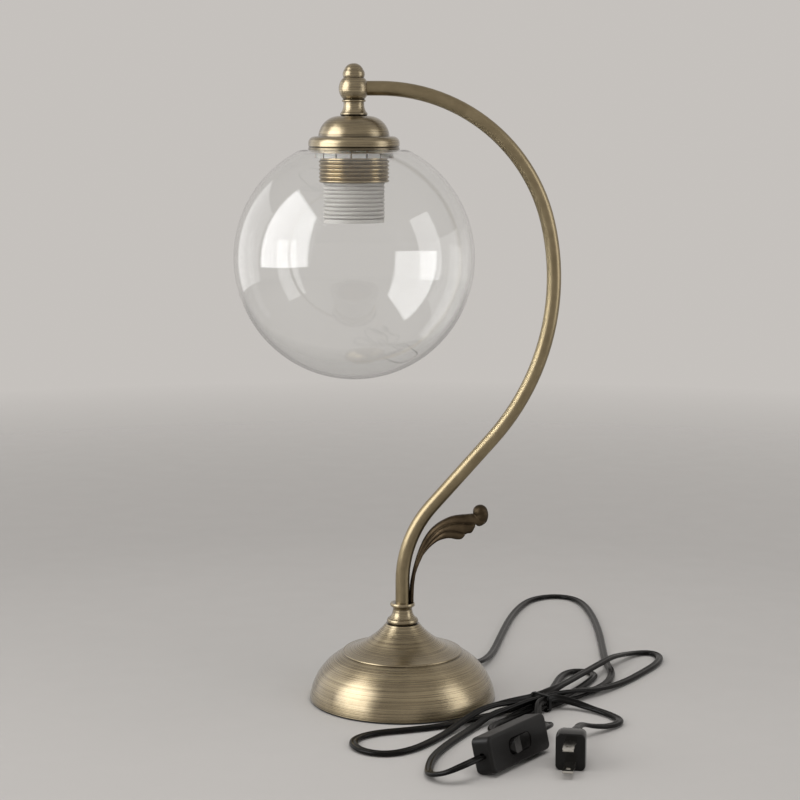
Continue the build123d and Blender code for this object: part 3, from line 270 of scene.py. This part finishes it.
# ---------------------------------------------------------------- materials
def aged_brass(name, grain, brushed=0.0, marks=1.0, creases=True, polish=(0.22, 0.34)):
    """Brushed brass under an olive patina: streaks along the grain, with painted shade darkening its creases
    and a clear lacquer where it is turned, or plain satin where it has no creases."""
    dark = (0.09, 0.067, 0.034)
    warm = (0.44, 0.362, 0.228)
    r = Recipe(name, warm, 0.34, 1.0, Coat_Weight=0.7, Coat_Roughness=0.26)
    streak = r.noise(grain(r), 1.0, 3.0, 0.75)
    cloud = r.noise(r.scaled((1, 1, 1)), 34.0, 4.0)
    mottle = r.sum("ADD", r.sum("MULTIPLY", streak, 0.72), r.sum("MULTIPLY", cloud, 0.28))
    amount = r.spread(mottle, 0.5 - 0.5 * marks, 0.5 + 0.5 * marks, 0.32, 0.66)
    body = r.blend(amount, dark, warm)
    if creases:
        # painted shade: the colour goes dark where a crease keeps the light out
        body = r.blend(r.spread(r.painted_crease_shade(0.004), 1, 0, 0.35, 0.95), body, tuple(c * 0.25 for c in dark))
        r.relief((streak, 0.00007 * marks), (cloud, 0.0001 * marks))
    else:
        r.skin.inputs["Coat Weight"].default_value = 0.0
    r.colour(body)
    r.rough(r.spread(streak, *polish))
    if brushed:
        around = r.add("ShaderNodeTangent", direction_type="RADIAL", axis="Z")
        r.join(around.outputs[0], r.skin.inputs["Tangent"])
        r.skin.inputs["Anisotropic"].default_value = brushed
        r.skin.inputs["Anisotropic Rotation"].default_value = 0.25
    return r.made


brass_base = aged_brass("aged_brass_base", lambda r: r.spun(0.0, 2300, 9), 0.75)
brass_head = aged_brass("aged_brass_head", lambda r: r.spun(head_x, 3200, 24), 0.6)
brass_arm = aged_brass("aged_brass_arm", lambda r: r.scaled((60, 240, 60)), 0.0, 0.25, False, (0.3, 0.38))


def cast_bronze():
    """Dark cast leaf, with painted shade darkening its grooves, so that its ridges read brighter."""
    r = Recipe("dark_cast_bronze", (0.05, 0.036, 0.02), 0.42, 1.0)
    grit = r.noise(r.scaled((1, 1, 1)), 700.0, 4.0)
    cloud = r.noise(r.scaled((1, 1, 1)), 90.0, 3.0)
    base = r.blend(r.spread(cloud, 0, 1), (0.036, 0.026, 0.016), (0.1, 0.073, 0.044))
    # painted shade: near black where the grooves keep the light out
    r.colour(r.blend(r.spread(r.painted_crease_shade(0.0035), 1, 0, 0.4, 0.97), base, (0.02, 0.013, 0.008)))
    r.rough(r.spread(grit, 0.4, 0.58))
    r.relief((grit, 0.00008), (cloud, 0.0003))
    return r.made


def moulded(name, colour, roughness, grit=0.00004, scale=1600.0, shade=0.82, crease=0.0, **sockets):
    """Moulded plastic or rubber: fine texture, slight unevenness, and painted shade in its grooves."""
    r = Recipe(name, colour, roughness, 0.0, **sockets)
    fine = r.noise(r.scaled((1, 1, 1)), scale, 3.0)
    cloud = r.noise(r.scaled((1, 1, 1)), 60.0, 3.0)
    body = r.blend(r.spread(cloud, 0, 1), tuple(c * shade for c in colour), colour)
    if crease:
        # painted shade: the colour darkens in grooves that keep the light out
        body = r.blend(r.spread(r.painted_crease_shade(crease), 1, 0, 0.2, 0.95), body, tuple(c * 0.3 for c in colour))
    r.colour(body)
    r.rough(r.spread(cloud, roughness * 0.85, roughness * 1.2))
    r.relief((fine, grit))
    return r.made


def plated(name, colour, roughness, grain=None):
    """Bright plated or drawn metal with fine scratches and a little tarnish."""
    r = Recipe(name, colour, roughness, 1.0)
    lines = r.noise(grain(r) if grain else r.scaled((900, 120, 1500)), 1.0, 2.0)
    cloud = r.noise(r.scaled((1, 1, 1)), 120.0, 3.0)
    r.colour(r.blend(r.spread(cloud, 0, 0.6), colour, tuple(c * 0.6 for c in colour)))
    r.rough(r.spread(lines, roughness * 0.8, roughness * 1.35))
    r.relief((lines, 0.00003))
    return r.made


def cast_iron():
    """Rough iron with a trace of rust."""
    r = Recipe("rough_cast_iron", (0.05, 0.05, 0.05), 0.7, 0.6)
    grit = r.noise(r.scaled((1, 1, 1)), 500.0, 6.0, 0.7)
    cloud = r.noise(r.scaled((1, 1, 1)), 40.0, 3.0)
    r.colour(r.blend(r.spread(cloud, 0, 1), (0.04, 0.04, 0.042), (0.13, 0.085, 0.06)))
    r.rough(r.spread(grit, 0.6, 0.85))
    r.relief((grit, 0.0004))
    return r.made


def clear_glass():
    """Clear blown glass. Shadow rays pass, so that the lamp's inside stays lit."""
    r = Recipe("clear_blown_glass", (0.972, 0.976, 0.974), 0.0, 0.0, Transmission_Weight=1.0, IOR=1.5)
    pass_on = r.add("ShaderNodeBsdfTransparent")
    mix = r.add("ShaderNodeMixShader")
    path = r.add("ShaderNodeLightPath")
    pass_on.inputs["Color"].default_value = (0.96, 0.97, 0.97, 1)
    r.join(path.outputs["Is Shadow Ray"], mix.inputs[0])
    r.join(r.skin.outputs[0], mix.inputs[1])
    r.join(pass_on.outputs[0], mix.inputs[2])
    r.join(mix.outputs[0], r.out.inputs[0])
    return r.made


finishes = {
    "antique_brass": brass_head,
    "leaf_bronze": cast_bronze(),
    "iron": cast_iron(),
    "foot_pad": moulded("foam_pad", (0.03, 0.03, 0.03), 0.85, 0.0002, 900.0),
    "steel": plated("zinc_plated_steel", (0.55, 0.55, 0.56), 0.32),
    "bushing_black": moulded("black_bushing", (0.02, 0.02, 0.021), 0.45),
    # holder and ring: the last number is the reach of the painted shade in their grooves
    "holder_white": moulded("white_holder", (0.46, 0.44, 0.415), 0.42, 0.00003, 1200.0, 0.93, 0.0012),
    "ring_white": moulded(
        "white_ring", (0.5, 0.485, 0.46), 0.34, 0.00002, 1200.0, 0.95, 0.0012,
        Subsurface_Weight=0.1, Subsurface_Scale=0.004,
    ),
    "ceramic": moulded("glazed_ceramic", (0.82, 0.81, 0.77), 0.16, 0.00003, 500.0, 0.94, Coat_Weight=0.5),
    "contact_brass": plated("bright_brass", (0.66, 0.47, 0.2), 0.24),
    "clamp_gold": plated("satin_gold", (0.32, 0.258, 0.158), 0.24, lambda r: r.spun(head_x, 2500, 40)),
    "clear_glass": clear_glass(),
    "cord_black": moulded(
        "black_cord_jacket", (0.005, 0.0046, 0.0042), 0.2, 0.00001, 1800.0, Specular_IOR_Level=0.12
    ),
    "tie_black": moulded("black_tie", (0.008, 0.008, 0.008), 0.45, Specular_IOR_Level=0.2),
    "switch_black": moulded(
        "black_switch_case", (0.009, 0.0083, 0.0078), 0.42, 0.00006, 1500.0, Specular_IOR_Level=0.22
    ),
    "rocker_black": moulded(
        "black_rocker", (0.007, 0.0065, 0.006), 0.24, 0.00003, 1500.0, Specular_IOR_Level=0.3
    ),
    "plug_black": moulded(
        "black_plug", (0.006, 0.0055, 0.005), 0.2, 0.00002, 900.0, Specular_IOR_Level=0.25
    ),
    "blade_nickel": plated("nickel_blade", (0.62, 0.6, 0.55), 0.22, lambda r: r.scaled((200, 40, 300))),
}
grain_of = {"base_shell": brass_base, "neck_collar": brass_base, "arm_tube": brass_arm}
slot_of = {part["node"]: part["material_slot"] for part in frame["record"]["subparts"]}
for node, solid in cad.items():
    for holder in solid.material_slots:
        holder.material = grain_of.get(node, finishes[slot_of[node]])


# ---------------------------------------------------------------- floor
def floor():
    """A pale table top that fades into the backdrop beyond the lamp."""
    top = bmesh.new()
    bmesh.ops.create_grid(top, x_segments=4, y_segments=4, size=6.0)
    mesh = bpy.data.meshes.new("floor")
    top.to_mesh(mesh)
    top.free()
    made = bpy.data.objects.new("floor", mesh)
    bpy.context.scene.collection.objects.link(made)
    r = Recipe("pale_floor", PALE, 0.6, 0.0, Specular_IOR_Level=0.2)
    speck = r.noise(r.scaled((1, 1, 1)), 30.0, 2.0)
    r.rough(r.spread(speck, 0.55, 0.7))
    split = r.add("ShaderNodeSeparateXYZ")
    r.join(r.place, split.inputs[0])
    x, y, z = split.outputs
    away = r.sum("SQRT", r.sum("ADD", r.sum("MULTIPLY", x, x), r.sum("MULTIPLY", y, y)))
    gone = r.add("ShaderNodeBsdfTransparent")
    mix = r.add("ShaderNodeMixShader")
    fade_starts, fade_ends = 0.5, 1.5
    r.join(r.spread(away, 0, 1, fade_starts, fade_ends), mix.inputs[0])
    r.join(r.skin.outputs[0], mix.inputs[1])
    r.join(gone.outputs[0], mix.inputs[2])
    r.join(mix.outputs[0], r.out.inputs[0])
    mesh.materials.append(r.made)


floor()


# ---------------------------------------------------------------- lathe work
def lathe(name, profile, centre_x, turns, material, nodes):
    """A closed profile of (radius, height) points spun round an upright axis."""
    work = bmesh.new()
    rings = []
    for k in range(turns):
        angle = 2 * pi * k / turns
        rings.append([work.verts.new((centre_x + r * cos(angle), r * sin(angle), z)) for r, z in profile])
    for k, ring in enumerate(rings):
        after = rings[(k + 1) % turns]
        for a in range(len(profile)):
            b = (a + 1) % len(profile)
            if profile[a][0] == 0 and profile[b][0] == 0:
                continue
            work.faces.new((ring[a], after[a], after[b], ring[b]))
    bmesh.ops.remove_doubles(work, verts=work.verts, dist=1e-7)
    bmesh.ops.recalc_face_normals(work, faces=work.faces)
    mesh = bpy.data.meshes.new(name)
    work.to_mesh(mesh)
    work.free()
    for face in mesh.polygons:
        face.use_smooth = True
    mesh.materials.append(material)
    made = bpy.data.objects.new(name, mesh)
    bpy.context.scene.collection.objects.link(made)
    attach(made, "lamp")
    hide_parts(*nodes)


def arc(centre, radius, start, end, steps):
    """Points along an arc, angles in degrees."""
    return [
        (centre[0] + radius * cos(radians(start + (end - start) * k / steps)),
         centre[1] + radius * sin(radians(start + (end - start) * k / steps)))
        for k in range(steps + 1)
    ]


def glass_globe():
    """The blown globe: ball, bend into the neck, ground flat top, and the hole's edge."""
    ball, bend, flat, hole, wall, ease = 75.0, 11.5, 67.4, 23.05, 2.0, 0.3  # millimetres
    middle = globe_top / MM - flat
    rise = flat - bend
    reach = sqrt((ball - bend) ** 2 - rise**2)
    slope = atan2(rise, reach) * 180 / pi
    neck = (reach, middle + rise)
    outer = arc((0, middle), ball, -90, slope, 90) + arc(neck, bend, slope, 90, 10)[1:]
    inner = arc((0, middle), ball - wall, -90, slope, 90) + arc(neck, bend - wall, slope, 90, 10)[1:]
    edge = [(hole + ease, globe_top / MM), (hole, globe_top / MM - ease)]
    edge += [(hole, globe_top / MM - wall + ease), (hole + ease, globe_top / MM - wall)]
    points = outer + edge + inner[::-1]
    points = [(max(r, 0.0) * MM if r > 1e-6 else 0.0, z * MM) for r, z in points]
    lathe("glass_globe", points, head_x, 160, finishes["clear_glass"], ["globe"])


glass_globe()


# ---------------------------------------------------------------- cast leaf
# side view, millimetres from the lamp's axis and the table: the leaf's top edge, the two
# grooves, and its lower edge; each blade ends where its two lines meet
LEAF_TOP = [
    (4.9, 62.4), (4.9, 67.0), (5.2, 75.4), (7.1, 85.4), (10.0, 95.4), (14.2, 104.6), (19.4, 111.2),
    (25.9, 115.8), (32.3, 118.5), (40.7, 119.5), (47.5, 119.8), (51.8, 117.5),
]
LEAF_GROOVE_1 = [
    (5.5, 62.4), (5.6, 68.0), (6.2, 76.0), (8.4, 85.0), (10.9, 91.2), (14.2, 99.1),
    (18.9, 106.0), (24.2, 111.0), (29.5, 113.4), (35.3, 114.4), (40.1, 114.1), (45.9, 113.7),
]
LEAF_GROOVE_2 = [
    (6.0, 62.4), (6.1, 68.0), (6.6, 76.0), (8.8, 84.0), (11.4, 90.5), (14.2, 96.1),
    (17.9, 101.6), (21.8, 105.5), (25.6, 108.5), (30.5, 109.5), (35.3, 109.0), (39.4, 107.7),
]
LEAF_LOW = [
    (6.5, 62.4), (6.7, 69.0), (7.3, 76.6), (8.7, 83.3), (11.6, 91.2), (16.1, 97.8),
    (21.9, 103.1), (27.7, 105.3), (30.9, 105.3), (34.6, 104.6), (37.4, 105.0), (39.3, 107.2),
]
LEAF_UNDER_TIP = [(47.9, 112.5), (51.1, 113.6), (51.9, 116.6)]
LEAF_LOBE_2 = [(40.9, 108.3), (43.8, 109.0), (45.9, 113.0)]
LEAF_TIP = ((49.9, 119.1, 4.5, 6.4), (49.2, 121.5, 4.65, 4.3))  # x, z, half width, half height
BLADE_BACK = 0.7  # a blade's thickness inside the leaf
BLADE_SWELL = (0.55, 0.42)  # its rise outside: least, and share of its own depth
BLADE_LEAST = 0.75  # half depth at a blade's thin end
BLADE_LAP = 0.1  # neighbouring blades run into each other by this
CASTING_GRAIN = 0.00022  # metres, size of the steps that run the blades together


def smooth_line(points, count):
    """Even points along a smooth line through a few places."""
    places = [Vector(p) for p in points]
    places = [places[0] * 2 - places[1]] + places + [places[-1] * 2 - places[-2]]
    fine = []
    for a, b, c, d in zip(places, places[1:], places[2:], places[3:]):
        for k in range(12):
            t = k / 12
            curve = (2 * a - 5 * b + 4 * c - d) * t**2 + (3 * b - a - 3 * c + d) * t**3
            fine.append(0.5 * (2 * b + (c - a) * t + curve))
    fine.append(places[-2])
    far = [0.0]
    for a, b in zip(fine, fine[1:]):
        far.append(far[-1] + (b - a).length)
    line, k = [], 0
    for n in range(count):
        want = far[-1] * n / (count - 1)
        while k < len(far) - 2 and far[k + 1] < want:
            k += 1
        line.append(fine[k].lerp(fine[k + 1], (want - far[k]) / max(far[k + 1] - far[k], 1e-9)))
    return line


def leaf_spread(height):
    """Half the leaf's width across, by height above the table."""
    steps = [(62.4, 1.7), (76, 1.8), (88, 2.3), (99, 3.8), (104, 5.2), (108, 6.3), (126, 6.8)]
    for (a, wa), (b, wb) in zip(steps, steps[1:]):
        if height <= b:
            return wa + (wb - wa) * max(0.0, height - a) / (b - a)
    return steps[-1][1]


def leaf_blade(work, upper, lower, share_up, share_low, side, stations=70, around=14):
    """One fluted blade of the leaf: a rounded strip between two lines, closed at both ends."""
    top, low = smooth_line(upper, stations), smooth_line(lower, stations)
    rings = []
    for a, b in zip(top, low):
        half = leaf_spread((a.y + b.y) / 2)
        start = Vector((a.x, side * share_up * half, a.y))
        end = Vector((b.x, side * share_low * half, b.y))
        middle = (start + end) / 2
        reach = (end - start) / 2
        deep = max(reach.length, BLADE_LEAST)
        reach = reach.normalized() if reach.length > 1e-6 else Vector((0, 0, -1))
        out = Vector((0, side, 0))
        out = (out - reach * out.dot(reach)).normalized()
        ring = []
        for n in range(around):
            angle = 2 * pi * n / around
            swell = BLADE_SWELL[0] + BLADE_SWELL[1] * deep if sin(angle) > 0 else BLADE_BACK
            place = middle + reach * (deep + BLADE_LAP) * cos(angle) + out * swell * sin(angle)
            ring.append(work.verts.new(place * MM))
        rings.append(ring)
    for ring, after in zip(rings, rings[1:]):
        for n in range(around):
            m = (n + 1) % around
            work.faces.new((ring[n], ring[m], after[m], after[n]))
    work.faces.new(rings[0][::-1])
    work.faces.new(rings[-1])


def cast_leaf():
    """Three fluted blades a side under one rolled tip, run together as in a casting."""
    work = bmesh.new()
    for side in (1, -1):
        leaf_blade(work, LEAF_TOP, LEAF_GROOVE_1 + LEAF_UNDER_TIP, 0.0, 0.5, side)
        leaf_blade(work, LEAF_GROOVE_1, LEAF_GROOVE_2 + LEAF_LOBE_2, 0.5, 0.84, side)
        leaf_blade(work, LEAF_GROOVE_2, LEAF_LOW, 0.84, 1.0, side)
    for x, z, wide, high in LEAF_TIP:
        size = Matrix.Diagonal((wide * MM, wide * MM, high * MM, 1))
        place = Matrix.Translation(Vector((x, 0, z)) * MM) @ size
        bmesh.ops.create_uvsphere(work, u_segments=32, v_segments=20, radius=1.0, matrix=place)
    bmesh.ops.recalc_face_normals(work, faces=work.faces)
    rough = bpy.data.meshes.new("leaf_blades")
    work.to_mesh(rough)
    work.free()
    holder = bpy.data.objects.new("leaf_blades", rough)
    bpy.context.scene.collection.objects.link(holder)
    merge = holder.modifiers.new("run_together", "REMESH")
    merge.mode = "VOXEL"
    merge.voxel_size = CASTING_GRAIN
    ease = holder.modifiers.new("soften", "SMOOTH")
    ease.factor = 0.5
    ease.iterations = 3
    bpy.context.view_layer.update()
    mesh = bpy.data.meshes.new_from_object(holder.evaluated_get(bpy.context.evaluated_depsgraph_get()))
    bpy.data.objects.remove(holder)
    mesh.name = "cast_leaf"
    for face in mesh.polygons:
        face.use_smooth = True
    mesh.materials.clear()
    mesh.materials.append(finishes["leaf_bronze"])
    made = bpy.data.objects.new("cast_leaf", mesh)
    bpy.context.scene.collection.objects.link(made)
    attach(made, "lamp")
    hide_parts("leaf")
    print("cast_leaf", len(mesh.polygons), "faces")


cast_leaf()


# ---------------------------------------------------------------- cord
STRAND_PITCH = 0.0048  # between strands side by side in the tie
TIE_HALF = 0.007  # half of the straight stretch inside the tie
FLAT = 0.0019  # height of the cord's middle where it lies on the table
tie_centre = Vector((0.087, -0.028, 0))
tie_along = Vector((cos(radians(44)), sin(radians(44)), 0))
tie_across = Vector((-tie_along.y, tie_along.x, 0))


def strand(column, height, side):
    """Where a strand enters (side -1) or leaves (side 1) the tie."""
    place = tie_centre + tie_across * (column * STRAND_PITCH) + tie_along * (side * TIE_HALF)
    return (place.x, place.y, height)


low, high = 0.0030, 0.0078  # the two layers of strands in the tie
exit_way = Vector((cos(radians(50)), sin(radians(50)), 0))
switch_way = Vector((cos(radians(54)), sin(radians(54)), 0))
switch_mid = Vector((0.0625, -0.1305, 0.0115))
switch_left = switch_mid - switch_way * 0.030
switch_right = switch_mid + switch_way * 0.030
plug_way = Vector((cos(radians(80.2)), sin(radians(80.2)), 0))
plug_tip = Vector((0.0955, -0.145, 0.01075)) + plug_way * 0.042
CORD_WIDTH = 0.0052
CORD_THICK = 0.0026
ROUTE_STEP = 0.0011  # least distance between two sections of the cord's jacket
TIE_ROLL = radians(46)  # how far the flat cord turns on edge in the tie
ROLL_ENDS, ROLL_RUN = 0.034, 0.018  # distance from the tie where the turn ends, and its length

main_route = [
    tuple(exit_way * 0.0555 + Vector((0, 0, 0.006))),
    tuple(exit_way * 0.076 + Vector((0, 0, 0.006))),
    (0.0575, 0.079, 0.0034), (0.064, 0.108, FLAT), (0.0715, 0.152, FLAT), (0.0805, 0.200, FLAT),
    (0.091, 0.236, FLAT), (0.101, 0.254, FLAT), (0.1165, 0.2625, FLAT), (0.131, 0.256, FLAT),
    (0.138, 0.236, FLAT), (0.141, 0.201, FLAT), (0.1415, 0.158, FLAT), (0.1395, 0.112, FLAT),
    (0.138, 0.076, FLAT), (0.140, 0.047, FLAT), (0.133, 0.022, FLAT), (0.117, 0.002, FLAT),
    strand(-1, low, 1), strand(-1, low, -1),
    (0.078, -0.048, FLAT), (0.074, -0.062, FLAT), (0.070, -0.075, FLAT), (0.062, -0.082, FLAT),
    (0.054, -0.078, FLAT), (0.054, -0.068, FLAT), (0.062, -0.058, FLAT), (0.070, -0.045, FLAT),
    strand(0, low, -1), strand(0, low, 1),
    (0.103, -0.006, FLAT), (0.114, 0.012, FLAT), (0.124, 0.032, FLAT), (0.128, 0.045, FLAT),
    (0.122, 0.054, FLAT), (0.112, 0.053, FLAT), (0.105, 0.042, FLAT), (0.100, 0.022, FLAT),
    (0.094, 0.000, FLAT),
    strand(1, low, 1), strand(1, low, -1),
    (0.060, -0.041, FLAT), (0.041, -0.054, FLAT), (0.024, -0.067, FLAT), (0.002, -0.075, FLAT),
    (-0.016, -0.080, FLAT), (-0.028, -0.090, FLAT), (-0.030, -0.103, FLAT), (-0.023, -0.116, FLAT),
    (-0.009, -0.121, FLAT), (0.005, -0.113, FLAT), (0.017, -0.097, FLAT), (0.028, -0.078, FLAT),
    (0.038, -0.062, 0.0045), (0.050, -0.049, high), (0.064, -0.038, high),
    strand(1, high, -1), strand(1, high, 1),
    (0.101, -0.002, high), (0.116, 0.024, high), (0.130, 0.048, high), (0.141, 0.067, high),
    (0.151, 0.085, 0.0046), (0.162, 0.099, FLAT), (0.172, 0.100, FLAT), (0.177, 0.090, FLAT),
    (0.173, 0.073, FLAT), (0.161, 0.052, FLAT), (0.145, 0.027, FLAT), (0.127, 0.005, 0.0036),
    (0.110, -0.011, high),
    strand(0, high, 1), strand(0, high, -1),
    (0.069, -0.043, 0.0070), (0.054, -0.054, 0.0050), (0.043, -0.070, FLAT), (0.033, -0.089, FLAT),
    (0.024, -0.108, FLAT), (0.0175, -0.126, FLAT), (0.015, -0.143, FLAT), (0.0146, -0.159, 0.0024),
    (0.023, -0.169, 0.0064),
    tuple(switch_mid - switch_way * 0.0465),
    tuple(switch_left + switch_way * 0.001),
]
plug_route = [
    tuple(switch_right - switch_way * 0.001),
    tuple(switch_mid + switch_way * 0.041),
    (0.0885, -0.084, 0.0085), (0.0845, -0.0715, 0.0046), (0.083, -0.0585, 0.0034), (0.0838, -0.0465, 0.0066),
    strand(-1, high, -1), strand(-1, high, 1),
    (0.106, -0.027, 0.0054), (0.118, -0.033, 0.0026), (0.1285, -0.043, FLAT), (0.135, -0.057, FLAT),
    (0.1265, -0.0695, 0.0024), (0.115, -0.0785, 0.0052),
    tuple(plug_tip + plug_way * 0.014),
    tuple(plug_tip - plug_way * 0.001),
]


def followed(points, fine=16):
    """The smooth line of a route, as points read from its curve."""
    line = bpy.data.curves.new("route", "CURVE")
    line.dimensions = "3D"
    run = line.splines.new("NURBS")
    run.points.add(len(points) - 1)
    for place, point in zip(run.points, points):
        place.co = (*point, 1)
    run.order_u = 3
    run.use_endpoint_u = True
    run.resolution_u = fine
    holder = bpy.data.objects.new("route", line)
    bpy.context.scene.collection.objects.link(holder)
    bpy.context.view_layer.update()
    mesh = bpy.data.meshes.new_from_object(holder.evaluated_get(bpy.context.evaluated_depsgraph_get()))
    places = [v.co.copy() for v in mesh.vertices]
    bpy.data.objects.remove(holder)
    return places


def twin_section():
    """Outline of a flat twin cord: two round cores side by side with a groove between."""
    lobe = CORD_THICK / 2
    apart = CORD_WIDTH / 2 - lobe
    ring = [(apart + lobe * cos(radians(a)), lobe * sin(radians(a))) for a in range(-120, 121, 24)]
    ring.append((0, lobe * 0.5))
    ring += [(-apart - lobe * cos(radians(a)), lobe * sin(radians(a))) for a in range(120, -121, -24)]
    ring.append((0, -lobe * 0.5))
    return ring


def twin_cord(name, route, nodes):
    """The flat cord's jacket along a route: it lies flat, and rolls over where the tie grips it."""
    line = followed(route)
    keep = [line[0]]
    for place in line[1:]:
        if (place - keep[-1]).length > ROUTE_STEP:
            keep.append(place)
    line = keep
    work = bmesh.new()
    rings = []
    section = twin_section()
    for k, place in enumerate(line):
        ahead = (line[min(k + 1, len(line) - 1)] - line[max(k - 1, 0)]).normalized()
        side = ahead.cross(Vector((0, 0, 1))).normalized()
        near = (place - tie_centre).length
        roll = TIE_ROLL * min(1, max(0, (ROLL_ENDS - near) / ROLL_RUN))
        across = (Matrix.Rotation(roll, 3, ahead) @ side).normalized()
        above = across.cross(ahead).normalized()
        rings.append([work.verts.new(place + across * x + above * y) for x, y in section])
    for ring, after in zip(rings, rings[1:]):
        for a in range(len(section)):
            b = (a + 1) % len(section)
            work.faces.new((ring[a], ring[b], after[b], after[a]))
    work.faces.new(rings[0][::-1])
    work.faces.new(rings[-1])
    bmesh.ops.recalc_face_normals(work, faces=work.faces)
    mesh = bpy.data.meshes.new(name)
    work.to_mesh(mesh)
    work.free()
    for face in mesh.polygons:
        face.use_smooth = len(face.vertices) == 4
    mesh.materials.append(finishes["cord_black"])
    made = bpy.data.objects.new(name, mesh)
    bpy.context.scene.collection.objects.link(made)
    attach(made, "lamp")
    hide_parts(*nodes)
    full = sum((b - a).length for a, b in zip(line, line[1:]))
    print(name, "length", round(full, 4))


twin_cord(
    "cord_from_base", main_route,
    ["cord_tail", "cord_hank", "cord_to_switch"],
)
twin_cord(
    "cord_to_the_plug", plug_route, ["cord_to_plug"],
)

import json
